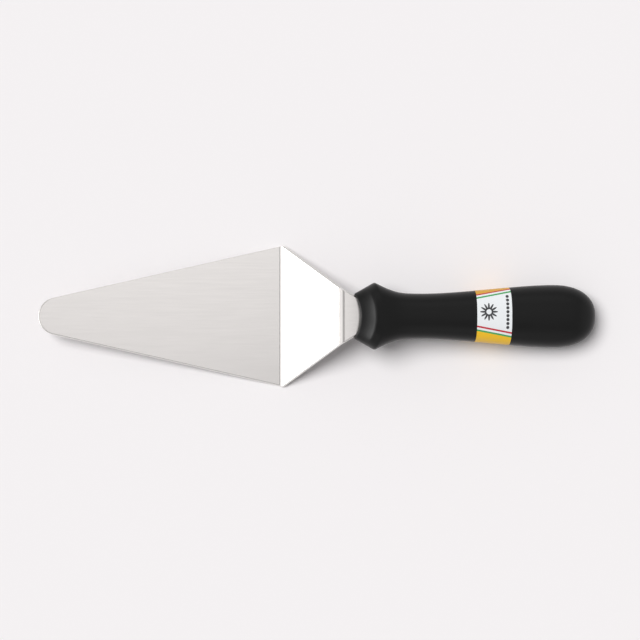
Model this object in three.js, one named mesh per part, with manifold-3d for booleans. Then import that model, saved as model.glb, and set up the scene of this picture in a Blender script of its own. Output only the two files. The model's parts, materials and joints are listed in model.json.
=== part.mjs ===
// A cake spatula: one sheet of stainless steel, folded twice into blade, riser and neck, whose tang is
// moulded into a black plastic handle, with a printed label wrapped round the handle.
// Millimetres, +Z up. It lies as it does on a table, tipped back on the heel of its first fold and
// the butt of its handle, with the tip raised. +X runs from the tip to the butt.

import * as THREE from "three";
import { mergeVertices } from "three/addons/utils/BufferGeometryUtils.js";
import Module from "manifold-3d";

// Steel blank, measured flat along its centre line before it is folded
const SHEET = 1.4; // thickness
const EDGE_ROUND = 0.6; // rounding of the cut edges
const BLADE_LENGTH = 122.2; // tip to first fold
const BLADE_WIDTH = 72; // across the shoulders
const TIP_RADIUS = 9.6;
const SHOULDER_PAST_FOLD = 1.7; // the shoulders stand this far up the riser
const SHOULDER_TRIM = 1.2; // length of edge that a shoulder's rounding takes
const RISER_LENGTH = 38.2; // first fold to second fold
const NECK_LENGTH = 6; // second fold to the handle's lip
const NECK_WIDTH = 20.4; // at the handle's lip
const TANG_WIDTH = 14;
const TANG_TRIM = 3; // length of edge that each rounding of the tang takes
const TANG_COVER = 37; // plastic between the tang's end and the butt
const ANCHOR_HOLE = 7; // diameter of the tang's holes, which the plastic fills
const ANCHOR_HOLES = 2;
const ANCHOR_SPACING = 32;
const ANCHOR_FROM_END = 14; // last hole to the tang's end

// Folds of the sheet
const FOLD_ANGLE = THREE.MathUtils.degToRad(42);
const HEEL_RADIUS = 2; // inside radius of the first fold
const NECK_RADIUS = 4; // inside radius of the second fold

// Handle, measured from its lip along its own axis
const HANDLE_LENGTH = 122;
const LIP_MARGIN = 1; // plastic beside the neck at the lip
const LIP_THICKNESS = 13;
const LIP_ROUND = 0.4;
const MOUTH_SCOOP = 2.7; // depth of the lip's hollow front
const GUARD_AT = 9.9; // lip to the finger guard's corners, seen from above
const GUARD_WIDTH = 33.6;
const GUARD_THICKNESS = 21;
const GUARD_TRIM = 0.9; // length that each side of the guard's rounding takes
const GUARD_HOLLOW = 0.55; // how far the guard's front dips behind a straight slope, seen from the side
const CREST_AT = 6.1; // lip to the ends of the guard's crest, at the handle's sides
const CREST_BOW = 3.7; // the crest's middle stands this far behind its ends
const FLARE_LENGTH = 11.4; // the guard would reach the waist in this length if its flare ran straight
const FLARE_PULL = 0.92; // how far the flare's curve is drawn into the corner that it rounds
const WAIST_AT = 33.8;
const WAIST_WIDTH = 22.4;
const WAIST_THICKNESS = 17.6;
const WAIST_EASE = 0.3; // share of the swell that leaves the waist level
const BUTT_EASE = 0.27; // share of the swell that meets the butt level
const BUTT_WIDTH = 31.3;
const BUTT_THICKNESS = 20.6;
const BUTT_DOME = 21.4; // length over which the butt's outline rounds off, seen from above
const BUTT_DOME_SIDE = 13.5; // the same, seen from the side
const BUTT_POWER = 2.3; // a superellipse, a little squarer than an ellipse
const SECTION_POWER = 2.4; // cross-sections are superellipses too
const MOULD_GAP = 0.15; // shrinkage gap between plastic and tang

// Label, measured from the handle's lip
const LABEL_START = 60.3;
const LABEL_WIDTH = 17.5;
const LABEL_THICKNESS = 0.15;
const LABEL_SEAM = 2; // gap between its ends, under the handle
const LABEL_GAP = 0.08; // layer of adhesive

// Fineness of the facets
const FOLD_STEPS = 6;
const CURVE_STEPS = 8;
const GRIP_STEPS = 12;
const ROUND_STEPS = 3;
const RING_POINTS = 48;
const LABEL_STEPS = 6;
const HOLE_SIDES = 24;
const BLANK_LEAST = 0.05; // points of the blank's outline nearer than this are one point
const GRIP_LEAST = 0.4; // the same for the handle's outline

const LIP_WIDTH = NECK_WIDTH + 2 * LIP_MARGIN;
const LIP_S = BLADE_LENGTH + RISER_LENGTH + NECK_LENGTH;
const TANG_END_S = LIP_S + HANDLE_LENGTH - TANG_COVER;
const HEEL_ARC = FOLD_ANGLE * (HEEL_RADIUS + SHEET / 2); // length of sheet in the first fold
const NECK_ARC = FOLD_ANGLE * (NECK_RADIUS + SHEET / 2); // length of sheet in the second fold
const HEEL_START = BLADE_LENGTH - HEEL_ARC / 2;
const NECK_START = BLADE_LENGTH + RISER_LENGTH - NECK_ARC / 2;

const wasm = await Module();
wasm.setup();

// A closed geometry as a solid that can be cut and joined.
function solidOf(geometry) {
  const bare = geometry.clone();
  bare.deleteAttribute("normal");
  bare.deleteAttribute("uv");
  const merged = mergeVertices(bare);
  return new wasm.Manifold(
    new wasm.Mesh({
      numProp: 3,
      vertProperties: new Float32Array(merged.attributes.position.array),
      triVerts: new Uint32Array(merged.index.array),
    }),
  );
}

function geometryOf(solid) {
  const { vertProperties, triVerts } = solid.getMesh();
  const geometry = new THREE.BufferGeometry();
  geometry.setAttribute("position", new THREE.BufferAttribute(vertProperties, 3));
  geometry.setIndex(new THREE.BufferAttribute(triVerts, 1));
  geometry.computeVertexNormals();
  return geometry;
}

function geometryFrom(points, triangles) {
  const geometry = new THREE.BufferGeometry().setFromPoints(points);
  geometry.setIndex(triangles);
  return geometry;
}

// Two triangles for the quad a, b, c, d, counter-clockwise as seen from outside.
function quad(a, b, c, d) {
  return [a, b, c, a, c, d];
}

// The value at `at` of an outline given as points (place, value) in rising place.
function valueAt(outline, at) {
  const after = outline.findIndex((p) => p.x >= at);
  if (after < 0) return outline.at(-1).y;
  if (after === 0) return outline[0].y;
  const [low, high] = [outline[after - 1], outline[after]];
  const share = (at - low.x) / (high.x - low.x || 1);
  return THREE.MathUtils.lerp(low.y, high.y, share);
}

// An outline without the points that stand nearer than `least` to the one before.
function thinned(outline, least) {
  const kept = [outline[0]];
  for (const point of outline) {
    if (point.distanceTo(kept.at(-1)) > least) kept.push(point);
  }
  return kept;
}

// The point that stands `trim` from a corner towards another point.
function offCorner(corner, towards, trim) {
  return towards.clone().sub(corner).setLength(trim).add(corner);
}

// Runs a path to a corner and round it, taking `trim` of edge on each side.
function roundCorner(path, corner, next, trim) {
  const before = offCorner(corner, path.currentPoint, trim);
  const after = offCorner(corner, next, trim);
  path.lineTo(before.x, before.y);
  path.quadraticCurveTo(corner.x, corner.y, after.x, after.y);
}

// One side of the flat blank, as points (distance from the tip, half width).
function blankSide() {
  const shoulder = new THREE.Vector2(BLADE_LENGTH + SHOULDER_PAST_FOLD, BLADE_WIDTH / 2);
  const taper = (BLADE_WIDTH - NECK_WIDTH) / 2 / (LIP_S - shoulder.x);
  const tangStart = new THREE.Vector2(LIP_S + (NECK_WIDTH - TANG_WIDTH) / 2 / taper, TANG_WIDTH / 2);
  const tangEnd = new THREE.Vector2(TANG_END_S, TANG_WIDTH / 2);

  // The straight side is the tangent from the shoulder to the tip's circle.
  const reach = new THREE.Vector2(shoulder.x - TIP_RADIUS, shoulder.y);
  const slant = reach.angle() - Math.asin(TIP_RADIUS / reach.length());
  const side = new THREE.Path();
  side.absarc(TIP_RADIUS, 0, TIP_RADIUS, Math.PI, Math.PI / 2 + slant, true);
  roundCorner(side, shoulder, tangStart, SHOULDER_TRIM);
  roundCorner(side, tangStart, tangEnd, TANG_TRIM);
  roundCorner(side, tangEnd, new THREE.Vector2(TANG_END_S, 0), TANG_TRIM);
  const outline = side.getPoints(CURVE_STEPS);

  // Rows of points across each fold let the sheet bend there.
  const foldRows = (start, arc) =>
    Array.from({ length: FOLD_STEPS + 1 }, (_, i) => start + (arc * i) / FOLD_STEPS);
  const rows = [...foldRows(HEEL_START, HEEL_ARC), ...foldRows(NECK_START, NECK_ARC)];
  const added = rows.map((s) => new THREE.Vector2(s, valueAt(outline, s)));
  const sorted = [...outline, ...added].sort((a, b) => a.x - b.x || b.y - a.y);
  return thinned(sorted, BLANK_LEAST);
}

// A closed clockwise loop of points moved inwards.
function insetLoop(loop, distance) {
  return loop.map((point, i) => {
    const before = point.clone().sub(loop.at(i - 1)).normalize();
    const after = loop[(i + 1) % loop.length].clone().sub(point).normalize();
    const inwards = new THREE.Vector2(before.y + after.y, -before.x - after.x);
    return inwards.multiplyScalar(distance / (1 + before.dot(after))).add(point);
  });
}

// Bends a point of the flat sheet, `along` its length and `above` its middle, at a fold that starts at
// `start`, is `arc` long and turns by `angle`: upwards if positive.
function bend([along, above], start, arc, angle) {
  const radius = arc / angle;
  const inArc = THREE.MathUtils.clamp(along - start, 0, arc);
  const past = along - start - inArc;
  const turned = inArc / radius;
  const [sin, cos] = [Math.sin(turned), Math.cos(turned)];
  return [
    start + radius * sin + past * cos - above * sin,
    radius * (1 - cos) + past * sin + above * cos,
  ];
}

// A point of the flat sheet in its place on the folded one, whose blade lies level on z = 0.
function folded(along, across, above) {
  const atNeck = bend([along, above], NECK_START, NECK_ARC, -FOLD_ANGLE);
  const [x, z] = bend(atNeck, HEEL_START, HEEL_ARC, FOLD_ANGLE);
  return new THREE.Vector3(x, across, z + SHEET / 2);
}

// The folded sheet without its holes, grown all over by `grow`.
function foldedSheet(grow) {
  const side = blankSide();
  const mirrored = side.slice(1).reverse().map((p) => new THREE.Vector2(p.x, -p.y));
  const loop = [...side, ...mirrored];

  // The edge from the sheet's underside to its top, as (inset, height above the middle).
  const round = Math.min(EDGE_ROUND, 0.45 * SHEET);
  const quarter = Array.from({ length: ROUND_STEPS + 1 }, (_, i) => (i / ROUND_STEPS) * (Math.PI / 2));
  const top = quarter.map((t) => [round * (1 - Math.cos(t)), SHEET / 2 - round * (1 - Math.sin(t))]);
  const edge = [...top.map(([inset, height]) => [inset, -height]).reverse(), ...top];

  const points = edge.flatMap(([inset, height]) =>
    insetLoop(loop, inset - grow).map((p) =>
      folded(p.x, p.y, height + Math.sign(height) * grow),
    ),
  );
  const count = loop.length;
  const triangles = [];
  for (let ring = 0; ring < edge.length - 1; ring++) {
    for (let i = 0; i < count; i++) {
      const [here, next] = [ring * count + i, ring * count + ((i + 1) % count)];
      triangles.push(...quad(here, here + count, next + count, next));
    }
  }
  // Each face is filled by strips between the points that mirror each other.
  const lastRing = (edge.length - 1) * count;
  for (let i = 0; i < side.length - 1; i++) {
    const [near, far] = [i, i + 1];
    const [nearMirror, farMirror] = [(count - near) % count, count - far];
    triangles.push(near, far, farMirror);
    triangles.push(lastRing + near, lastRing + farMirror, lastRing + far);
    if (i === 0) continue;
    triangles.push(near, farMirror, nearMirror);
    triangles.push(lastRing + near, lastRing + nearMirror, lastRing + farMirror);
  }
  return solidOf(geometryFrom(points, triangles));
}

// Upright posts at the tang's anchor holes, longer than the tang's pocket is deep.
function anchorPosts(radius) {
  const height = SHEET + 4 * MOULD_GAP;
  return Array.from({ length: ANCHOR_HOLES }, (_, i) => {
    const post = new THREE.CylinderGeometry(radius, radius, height, HOLE_SIDES);
    const at = folded(TANG_END_S - ANCHOR_FROM_END - i * ANCHOR_SPACING, 0, 0);
    return solidOf(post.rotateX(Math.PI / 2).translate(at.x, at.y, at.z));
  });
}

function cutAll(solid, cutters) {
  return cutters.reduce((left, cutter) => left.subtract(cutter), solid);
}

function bladeGeometry() {
  return geometryOf(cutAll(foldedSheet(0), anchorPosts(ANCHOR_HOLE / 2)));
}

// Half the handle's width or thickness along its length, as points (distance from the lip, half size).
function gripOutline(lip, guardAt, guard, waist, butt, dome, hollow) {
  const lipPoint = new THREE.Vector2(0, lip / 2);
  const guardPoint = new THREE.Vector2(guardAt, guard / 2);
  const guardMiddle = new THREE.Vector2(guardAt / 2, (lip + guard) / 4 - 2 * hollow);
  const guardEnd = offCorner(guardPoint, guardMiddle, GUARD_TRIM);
  const flareEnd = new THREE.Vector2(guardAt + FLARE_LENGTH, waist / 2);
  const domeAt = HANDLE_LENGTH - dome;
  const swell = domeAt - WAIST_AT;
  const outline = new THREE.Path();
  outline.moveTo(0, lip / 2 - LIP_ROUND);
  roundCorner(outline, lipPoint, guardMiddle, LIP_ROUND);
  outline.quadraticCurveTo(guardMiddle.x, guardMiddle.y, guardEnd.x, guardEnd.y);
  roundCorner(outline, guardPoint, flareEnd, GUARD_TRIM);
  const flareStart = outline.currentPoint.clone().lerp(flareEnd, FLARE_PULL);
  const flareRest = new THREE.Vector2(WAIST_AT, waist / 2).lerp(flareEnd, FLARE_PULL);
  outline.bezierCurveTo(flareStart.x, flareStart.y, flareRest.x, flareRest.y, WAIST_AT, waist / 2);
  outline.bezierCurveTo(
    WAIST_AT + WAIST_EASE * swell,
    waist / 2,
    domeAt - BUTT_EASE * swell,
    butt / 2,
    domeAt,
    butt / 2,
  );
  const domed = Array.from({ length: GRIP_STEPS }, (_, i) => {
    const turn = ((i + 1) / GRIP_STEPS) * (Math.PI / 2);
    const out = Math.sin(turn) ** (2 / BUTT_POWER);
    const half = Math.max(Math.cos(turn), 0) ** (2 / BUTT_POWER);
    return new THREE.Vector2(domeAt + dome * out, (butt / 2) * half);
  });
  return [...outline.getPoints(GRIP_STEPS), ...domed];
}

const PLAN = gripOutline(LIP_WIDTH, GUARD_AT, GUARD_WIDTH, WAIST_WIDTH, BUTT_WIDTH, BUTT_DOME, 0);
const SIDE = gripOutline(
  LIP_THICKNESS,
  CREST_AT,
  GUARD_THICKNESS,
  WAIST_THICKNESS,
  BUTT_THICKNESS,
  BUTT_DOME_SIDE,
  GUARD_HOLLOW,
);

// How far the middle of the section at `u` stands behind its ends: bowed from the lip to the guard's crest,
// and level from the waist on.
function bowAt(u) {
  if (u < CREST_AT) return THREE.MathUtils.mapLinear(u, 0, CREST_AT, MOUTH_SCOOP, CREST_BOW);
  return Math.max(0, THREE.MathUtils.mapLinear(u, CREST_AT, WAIST_AT, CREST_BOW, 0));
}

function signedPower(value, power) {
  return Math.sign(value) * Math.abs(value) ** power;
}

// A point on the handle's skin, `u` behind the lip and at `turn` round its axis, moved out by `out`.
function gripPoint(u, turn, out = 0) {
  const [halfWidth, halfThickness] = [valueAt(PLAN, u), valueAt(SIDE, u)];
  const [cos, sin] = [Math.cos(turn), Math.sin(turn)];
  const across = signedPower(cos, 2 / SECTION_POWER);
  const up = signedPower(sin, 2 / SECTION_POWER);
  const outwards = new THREE.Vector2(
    signedPower(across, SECTION_POWER - 1) / (halfWidth || 1),
    signedPower(up, SECTION_POWER - 1) / (halfThickness || 1),
  ).setLength(out);
  const behind = bowAt(u) * (1 - across ** 2);
  return new THREE.Vector3(u + behind, halfWidth * across + outwards.x, halfThickness * up + outwards.y);
}

// Carries geometry from the handle's own axis to where the tang holds it.
function ontoTang(geometry) {
  const lip = folded(LIP_S, 0, 0);
  return geometry.translate(lip.x, lip.y, lip.z);
}

// Where the handle's sections stand: along its plan outline, and closer where the side outline has its crest.
function sectionPlaces() {
  const atCrest = SIDE.filter((p) => p.x < GUARD_AT);
  const added = atCrest.map((p) => new THREE.Vector2(p.x, valueAt(PLAN, p.x)));
  const sorted = [...PLAN, ...added].sort((a, b) => a.x - b.x);
  return thinned(sorted, GRIP_LEAST).map((p) => p.x).slice(0, -1);
}

// The handle as one solid form, before the tang's pocket is cut.
function gripGeometry() {
  const rings = sectionPlaces();
  const points = rings.flatMap((u) =>
    Array.from({ length: RING_POINTS }, (_, i) => gripPoint(u, (2 * Math.PI * i) / RING_POINTS)),
  );
  points.push(new THREE.Vector3(HANDLE_LENGTH, 0, 0));
  const buttEnd = points.length - 1;
  const triangles = [];
  for (let ring = 0; ring < rings.length; ring++) {
    for (let i = 0; i < RING_POINTS; i++) {
      const next = (i + 1) % RING_POINTS;
      const [a, b] = [ring * RING_POINTS + i, ring * RING_POINTS + next];
      if (ring === rings.length - 1) triangles.push(a, b, buttEnd);
      else triangles.push(...quad(a, b, b + RING_POINTS, a + RING_POINTS));
    }
  }
  // The hollow front runs straight up and down between the lip's upper and lower edge.
  for (let i = 0; i < RING_POINTS / 2; i++) {
    const [upper, upperNext] = [i, i + 1];
    const [lower, lowerNext] = [(RING_POINTS - i) % RING_POINTS, RING_POINTS - i - 1];
    if (i > 0) triangles.push(upper, lower, lowerNext);
    if (i < RING_POINTS / 2 - 1) triangles.push(upper, lowerNext, upperNext);
  }
  return ontoTang(geometryFrom(points, triangles));
}

function handleGeometry() {
  const pocket = cutAll(foldedSheet(MOULD_GAP), anchorPosts(ANCHOR_HOLE / 2 - MOULD_GAP));
  return geometryOf(solidOf(gripGeometry()).subtract(pocket));
}

// A thin band round the handle, open along a seam under it.
function labelGeometry() {
  const pitch = LABEL_WIDTH / LABEL_STEPS;
  const rows = Array.from({ length: LABEL_STEPS + 1 }, (_, i) => LABEL_START + pitch * i);
  const columns = RING_POINTS + 1;
  const turnAt = (u, column) => {
    const seamShare = LABEL_SEAM / 2 / valueAt(PLAN, u);
    const seamTurn = Math.asin(seamShare ** (SECTION_POWER / 2));
    const round = (2 * Math.PI * column) / RING_POINTS;
    return THREE.MathUtils.clamp(round, seamTurn, 2 * Math.PI - seamTurn) - Math.PI / 2;
  };
  const skin = (out) =>
    rows.flatMap((u) => Array.from({ length: columns }, (_, c) => gripPoint(u, turnAt(u, c), out)));
  const points = [...skin(LABEL_GAP), ...skin(LABEL_GAP + LABEL_THICKNESS)];
  const outer = points.length / 2;
  const triangles = [];
  for (let row = 0; row < LABEL_STEPS; row++) {
    for (let c = 0; c < RING_POINTS; c++) {
      const a = row * columns + c;
      triangles.push(...quad(outer + a, outer + a + 1, outer + a + 1 + columns, outer + a + columns));
      triangles.push(...quad(a, a + columns, a + 1 + columns, a + 1));
    }
    const [first, last] = [row * columns, row * columns + RING_POINTS];
    triangles.push(...quad(first, outer + first, outer + first + columns, first + columns));
    triangles.push(...quad(last, last + columns, outer + last + columns, outer + last));
  }
  for (let c = 0; c < RING_POINTS; c++) {
    const far = LABEL_STEPS * columns + c;
    triangles.push(...quad(c, c + 1, outer + c + 1, outer + c));
    triangles.push(...quad(far, outer + far, outer + far + 1, far + 1));
  }
  return ontoTang(geometryFrom(points, triangles));
}

// How far the spatula tips back about its heel before the handle meets the table.
function tipBack(handle) {
  const heelRadius = HEEL_RADIUS + SHEET;
  const heel = new THREE.Vector2(HEEL_START, heelRadius);
  const { array } = handle.getAttribute("position");
  let angle = FOLD_ANGLE;
  for (let i = 0; i < array.length; i += 3) {
    const reach = new THREE.Vector2(array[i] - heel.x, array[i + 2] - heel.y);
    const touches = Math.atan2(reach.y, reach.x) + Math.asin(heelRadius / reach.length());
    angle = Math.min(angle, touches);
  }
  return angle;
}

const steel = new THREE.MeshStandardMaterial({ color: 0xd8d5d1, roughness: 0.3, metalness: 1 });
const plastic = new THREE.MeshStandardMaterial({ color: 0x212121, roughness: 0.55, metalness: 0 });
const print = new THREE.MeshStandardMaterial({ color: 0xf3f2ec, roughness: 0.45, metalness: 0 });

function named(name, geometry, material) {
  const mesh = new THREE.Mesh(geometry, material);
  mesh.name = name;
  return mesh;
}

const spatula = new THREE.Group();
spatula.name = "cake_spatula";
const handle = named("handle", handleGeometry(), plastic);
spatula.add(named("blade", bladeGeometry(), steel), handle, named("label", labelGeometry(), print));

// Tipped back, with the middle of its footprint at the origin and its lowest points on z = 0.
spatula.rotation.y = tipBack(handle.geometry);
spatula.updateMatrixWorld(true);
const room = new THREE.Box3().setFromObject(spatula, true);
const middle = room.getCenter(new THREE.Vector3());
spatula.position.set(-middle.x, -middle.y, -room.min.z);

export default spatula;
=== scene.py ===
"""A cake spatula: a twice-folded steel blade, a moulded handle and a wrapped label, on a stage.

Metres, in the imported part's frame: +X from the tip to the butt, +Z up from the table. Blade and
handle are made level first, with the tip at the origin and the blade's middle plane on z = 0, and
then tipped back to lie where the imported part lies.
"""

import json
import math

import bpy
from bpy.props import FloatProperty, FloatVectorProperty, IntProperty, PointerProperty
from mathutils import Matrix, Vector
from mathutils.geometry import interpolate_bezier


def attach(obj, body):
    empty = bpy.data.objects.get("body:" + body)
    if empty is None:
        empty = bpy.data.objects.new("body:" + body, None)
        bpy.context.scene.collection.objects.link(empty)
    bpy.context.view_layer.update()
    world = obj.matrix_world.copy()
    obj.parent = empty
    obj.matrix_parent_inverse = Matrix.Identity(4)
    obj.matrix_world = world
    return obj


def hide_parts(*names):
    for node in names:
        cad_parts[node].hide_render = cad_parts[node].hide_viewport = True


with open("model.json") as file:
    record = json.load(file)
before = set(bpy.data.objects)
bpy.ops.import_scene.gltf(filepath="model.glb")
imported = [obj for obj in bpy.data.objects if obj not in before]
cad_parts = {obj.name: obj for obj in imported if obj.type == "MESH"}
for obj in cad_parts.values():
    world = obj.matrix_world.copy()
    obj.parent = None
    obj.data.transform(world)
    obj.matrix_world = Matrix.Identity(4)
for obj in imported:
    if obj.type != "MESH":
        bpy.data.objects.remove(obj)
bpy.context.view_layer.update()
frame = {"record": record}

bl_info = {
    "name": "Cake Spatula",
    "version": (1, 0, 0),
    "blender": (4, 5, 0),
    "location": "View3D > Sidebar > Spatula",
    "description": "Makes a cake spatula and the stage that it is photographed on",
    "category": "Add Mesh",
}

MM = 0.001

# The record's mount under the blade, and its place as a share of the blade's length from the tip
MOUNT = "blade_underside"
MOUNT_SHARE = 0.45

# Fineness of the meshes
TIP_STEPS = 24
CORNER_STEPS = 8
EDGE_STEPS = 6
FOLD_STEPS = 16
GRIP_STEPS = 28
RING_STEPS = 72  # round half of the handle
LABEL_ROUND_STEPS = 160
LABEL_LENGTH_STEPS = 24
HOLE_SIDES = 48
SHADING_MARGIN = 0.2 * MM  # a narrow row beside each curve keeps the flat next to it evenly lit
OUTLINE_STEP = 0.02 * MM  # least step along the blank's outline
SECTION_STEP = 0.05 * MM  # least step from section to section of the handle
WELD = 0.001 * MM  # points nearer than this become one
SHARP_ANGLE = math.radians(40)

# Limits that keep small features inside what carries them
EDGE_SHARE = 0.9  # of half the sheet, for the rounding of an edge
PARTING_SHARE = 0.2  # of a section's half thickness, for half the parting line

# The handle's curves
FLARE_PULL = 0.92  # how far the guard's flare is drawn into the corner that it rounds
WAIST_EASE = 0.3  # share of the swell that leaves the waist level
BUTT_EASE = 0.27  # share of the swell that meets the butt level
BUTT_POWER = 2.3  # superellipse of the butt's outline
SECTION_POWER = 2.4  # superellipse of the cross-sections

# The soft boxes: direction, how far their light reaches along X, Y and Z there, and strength
SOFT_BOXES = (
    ((0.11, 0.11, 0.99), (0.27, 0.28, 0.5), 1.0),  # overhead: the blade and the neck show it
    ((-0.95, -0.10, 0.28), (0.5, 0.7, 0.175), 3.8),  # low on the tip's side: the riser shows it
    ((-0.66, -0.15, 0.74), (0.6, 0.9, 0.44), 0.9),  # higher there: the folds and the guard show it
    ((0.80, 0.0, 0.60), (0.5, 0.9, 0.5), 0.4),  # on the butt's side: the flare and the butt show it
    ((0.0, 0.66, 0.75), (0.6, 0.45, 0.4), 0.8),  # behind and in front: the blade's edges show them
    ((0.0, -0.72, 0.69), (0.6, 0.4, 0.4), 0.6),
)
BOX_CORE = 0.35  # share of that reach in which a box is at full strength
SURROUND_FADE = (0.1, 0.5)  # sines of the heights between which the surround fades to its zenith
KEY_FROM = (-0.35, 0.22, 0.91)  # where the two lamps stand
FILL_FROM = (-0.89, -0.24, 0.38)

# Where nearly all of a noise texture's values lie, with little detail and with much
NOISE_RANGE = (0.3, 0.7)
FINE_NOISE_RANGE = (0.25, 0.75)


def linear(hex_code):
    """The linear RGB of an sRGB hex colour."""
    channels = [int(hex_code[i : i + 2], 16) / 255 for i in (1, 3, 5)]
    return [c / 12.92 if c <= 0.04045 else ((c + 0.055) / 1.055) ** 2.4 for c in channels]


def millimetres(name, description, value):
    """A length that a user can change, given in millimetres and kept in metres."""
    return FloatProperty(
        name=name, description=description, default=value * MM, unit="LENGTH", precision=5
    )


def degrees(name, description, value):
    """An angle that a user can change, given in degrees and kept in radians."""
    return FloatProperty(
        name=name, description=description, default=math.radians(value), subtype="ANGLE"
    )


def number(name, description, value):
    """A plain number that a user can change."""
    return FloatProperty(name=name, description=description, default=value)


def colour(name, description, hex_code):
    """A colour that a user can change."""
    return FloatVectorProperty(
        name=name, description=description, default=linear(hex_code), subtype="COLOR", min=0, max=1
    )


class BladeSettings(bpy.types.PropertyGroup):
    """The steel blank, measured flat along its centre line, and its folds."""

    sheet: millimetres("Sheet", "Thickness of the steel", 1.4)
    edge_round: millimetres("Edge round", "Rounding of the cut edges", 0.6)
    blade_length: millimetres("Blade length", "From the tip to the first fold", 122.2)
    blade_width: millimetres("Blade width", "Across the shoulders", 72)
    tip_radius: millimetres("Tip radius", "Rounding of the tip", 9.6)
    shoulder_past_fold: millimetres("Shoulder past fold", "How far up the riser they stand", 1.7)
    shoulder_trim: millimetres("Shoulder trim", "Length of edge that its rounding takes", 1.2)
    riser_length: millimetres("Riser length", "From the first fold to the second", 38.2)
    neck_length: millimetres("Neck length", "From the second fold to the handle's lip", 6)
    neck_width: millimetres("Neck width", "At the handle's lip", 20.4)
    tang_length: millimetres("Tang length", "From the handle's lip to the tang's end", 85)
    tang_width: millimetres("Tang width", "Where it runs parallel", 14)
    tang_trim: millimetres("Tang trim", "Length of edge that a rounding of the tang takes", 3)
    anchor_hole: millimetres("Anchor hole", "Diameter of the holes that the plastic fills", 7)
    anchor_holes: IntProperty(name="Anchor holes", description="Their number", default=2, min=1)
    anchor_spacing: millimetres("Anchor spacing", "From hole to hole", 32)
    anchor_from_end: millimetres("Anchor from end", "From the last hole to the tang's end", 14)
    fold_angle: degrees("Fold angle", "How far each fold turns the sheet", 42)
    heel_radius: millimetres("Heel radius", "Inside radius of the first fold", 2)
    neck_radius: millimetres("Neck radius", "Inside radius of the second fold", 4)
    steel: colour("Steel", "Colour of the satin faces", "#DBD7D5")
    # The edges' lighter colour is a painted highlight on top of their real polish.
    edge_highlight_steel: colour("Edge steel", "Colour of the polished edges", "#F2F0EC")


class HandleSettings(bpy.types.PropertyGroup):
    """The plastic handle, measured from its lip along its own axis."""

    length: millimetres("Length", "From the lip to the butt's end", 122)
    lip_width: millimetres("Lip width", "Across the lip", 22.4)
    lip_thickness: millimetres("Lip thickness", "Height of the lip", 13)
    lip_round: millimetres("Lip round", "Rounding of the lip's edge", 0.4)
    mouth_scoop: millimetres("Mouth scoop", "Depth of the lip's hollow front", 2.7)
    guard_at: millimetres("Guard at", "From the lip to the finger guard's corners, from above", 9.9)
    guard_width: millimetres("Guard width", "Across the finger guard", 33.6)
    guard_thickness: millimetres("Guard thickness", "Height of the finger guard", 21)
    guard_trim: millimetres("Guard trim", "Length that each side of its rounding takes", 0.9)
    guard_hollow: millimetres("Guard hollow", "How far its front dips under a straight slope", 0.55)
    crest_at: millimetres("Crest at", "From the lip to the ends of the guard's crest", 6.1)
    crest_bow: millimetres("Crest bow", "How far the crest's middle stands behind its ends", 3.7)
    flare_length: millimetres("Flare length", "From guard to waist if it ran straight", 11.4)
    waist_at: millimetres("Waist at", "From the lip to the narrowest place", 33.8)
    waist_width: millimetres("Waist width", "Across the narrowest place", 22.4)
    waist_thickness: millimetres("Waist thickness", "Height of the narrowest place", 17.6)
    butt_width: millimetres("Butt width", "Across the widest place of the grip", 31.3)
    butt_thickness: millimetres("Butt thickness", "Height of the thickest place of the grip", 20.6)
    butt_dome: millimetres("Butt dome", "Length of the end's rounding, seen from above", 21.4)
    butt_dome_side: millimetres("Butt dome side", "The same, seen from the side", 13.5)
    mould_gap: millimetres("Mould gap", "Shrinkage gap between plastic and tang", 0.15)
    parting_width: millimetres("Parting width", "Width of the mould's parting line", 0.5)
    parting_height: millimetres("Parting height", "How far the parting line stands out", 0.06)
    plastic: colour("Plastic", "Colour of the moulding", "#0A0A0A")


class LabelSettings(bpy.types.PropertyGroup):
    """The label round the handle, and its print."""

    start: millimetres("Start", "From the handle's lip to the label", 60.3)
    width: millimetres("Width", "Along the handle", 17.5)
    thickness: millimetres("Thickness", "Of the paper and its varnish", 0.15)
    seam: millimetres("Seam", "Gap between its ends, under the handle", 2)
    gap: millimetres("Gap", "Layer of adhesive", 0.08)
    panel_half: millimetres("Panel half", "Half the plain panel, round the handle", 7.4)
    panel_shift: millimetres("Panel shift", "How far round the handle its middle stands", -2.2)
    panel_spread: number("Panel spread", "How much half the panel widens along the handle", 0.19)
    line_width: millimetres("Line width", "Of each line beside the panel", 0.9)
    line_gap: millimetres("Line gap", "Of paper before each line", 1.1)
    rosette_at: millimetres("Rosette at", "From the label's middle, along the handle", -2.9)
    rosette_radius: millimetres("Rosette radius", "To the ends of its petals", 4.5)
    rosette_valley: millimetres("Rosette valley", "Radius between its petals", 2.1)
    rosette_hole: millimetres("Rosette hole", "Radius of its open middle", 1.3)
    petals: IntProperty(name="Petals", description="How many the rosette has", default=12, min=3)
    bead_at: millimetres("Bead at", "From the label's middle to the row of beads", 6.6)
    bead_radius: millimetres("Bead radius", "Of each bead", 0.8)
    bead_pitch: millimetres("Bead pitch", "From bead to bead", 1.95)
    bead_row: millimetres("Bead row", "Length of the row, round the handle", 17.4)
    paper: colour("Paper", "Colour of the panel", "#F1F4F6")
    # One yellow ground in two tones: darker and more orange on the far side as painted shade, lighter
    # on the near side as painted light.
    far_ground_painted_shade: colour("Far ground", "Colour beyond the panel on the far side", "#E0A62A")
    near_ground_painted_light: colour("Near ground", "Colour beyond the panel on the near side", "#FAC626")
    red_line: colour("Red line", "Colour of one line of each pair", "#C4323F")
    green_line: colour("Green line", "Colour of the other line of each pair", "#3FA45A")
    ink: colour("Ink", "Colour of the rosette and the beads", "#3A3B3D")


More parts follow.
